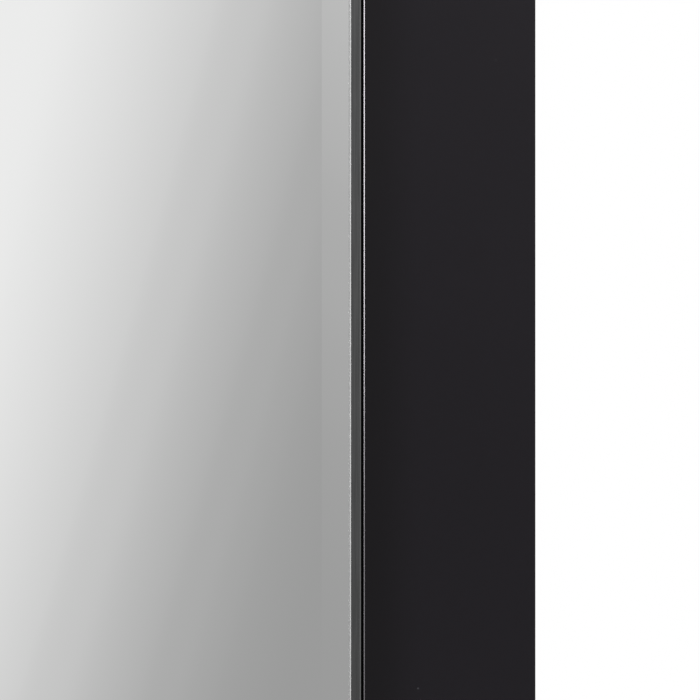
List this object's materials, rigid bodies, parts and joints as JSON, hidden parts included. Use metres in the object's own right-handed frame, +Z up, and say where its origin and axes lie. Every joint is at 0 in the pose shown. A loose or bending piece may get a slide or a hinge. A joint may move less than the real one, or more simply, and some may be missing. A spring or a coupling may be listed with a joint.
{
  "type": "medicine cabinet",
  "caption": "Shallow wall-hung bathroom cabinet with glass shelves behind one side-hinged door: a bevelled mirror in a flat black frame with a slim inner bead.",
  "frame": {"origin": "centre of the rectangle of four wall screw holes, on the wall plane at the back of the cabinet", "axes": "+Y is into the wall and the mirror faces -Y; +Z is up along the cabinet's height; +X is to the right as seen by a person facing the mirror, from the hinge side to the opening side"},
  "size_m": [0.508, 0.12, 0.66],
  "materials": {
    "black_board": "satin black lacquer on fibreboard",
    "black_frame": "satin black lacquer on fibreboard moulding",
    "beech": "plain turned beech",
    "zinc_steel": "zinc-plated sheet steel",
    "zinc_diecast": "zinc die casting, tumbled",
    "nickel": "satin nickel plate",
    "screw_steel": "zinc-plated steel",
    "plated_steel": "nickel-plated steel",
    "clear_vinyl": "clear soft vinyl",
    "rubber": "matt black rubber",
    "black_plastic": "moulded black plastic, fine texture",
    "ferrite": "sintered ferrite, dull dark grey",
    "clear_glass": "clear float glass, ground edges",
    "graphite_bead": "graphite-coloured satin metal, brighter on its arrises",
    "mirror": "silvered float glass with a polished bevel",
    "grey_card": "grey packing card",
    "hardboard": "brown hardboard, smooth outer face"
  },
  "bodies": {
    "cabinet": {"left_side_panel": "black_board", "right_side_panel": "black_board", "top_panel": "black_board", "bottom_panel": "black_board", "back_panel": "black_board", "upper_hanging_rail": "black_board", "lower_hanging_rail": "black_board", "carcass_dowels": "beech", "rail_dowels": "beech", "cam_bolts": "zinc_steel", "cam_locks": "zinc_diecast", "shelf_pins": "nickel", "shelf_pin_sleeves": "clear_vinyl", "upper_glass_shelf": "clear_glass", "lower_glass_shelf": "clear_glass", "hinge_cabinet_leaf": "nickel", "hinge_pin": "nickel", "hinge_cabinet_screws": "screw_steel", "catch_housing": "black_plastic", "catch_pole_plates": "plated_steel", "catch_magnet": "ferrite", "catch_screws": "screw_steel"},
    "door": {"left_stile": "black_frame", "right_stile": "black_frame", "top_rail": "black_frame", "bottom_rail": "black_frame", "left_sight_bead": "graphite_bead", "right_sight_bead": "graphite_bead", "top_sight_bead": "graphite_bead", "bottom_sight_bead": "graphite_bead", "mirror_glass": "mirror", "mirror_packing_card": "grey_card", "mirror_backing_board": "hardboard", "backing_clips": "zinc_steel", "backing_clip_screws": "screw_steel", "corner_braces": "zinc_steel", "corner_brace_screws": "screw_steel", "hinge_door_leaf": "nickel", "hinge_door_screws": "screw_steel", "strike_plate": "plated_steel", "strike_plate_screw": "screw_steel", "door_bumpers": "rubber"}
  },
  "joints": [
    {"name": "door_hinge", "type": "hinge", "parent": "cabinet", "child": "door", "pos_m": [-0.2445, -0.0985, 0], "axis": [0, 0, -1], "range_deg": [0, 100]}
  ]
}
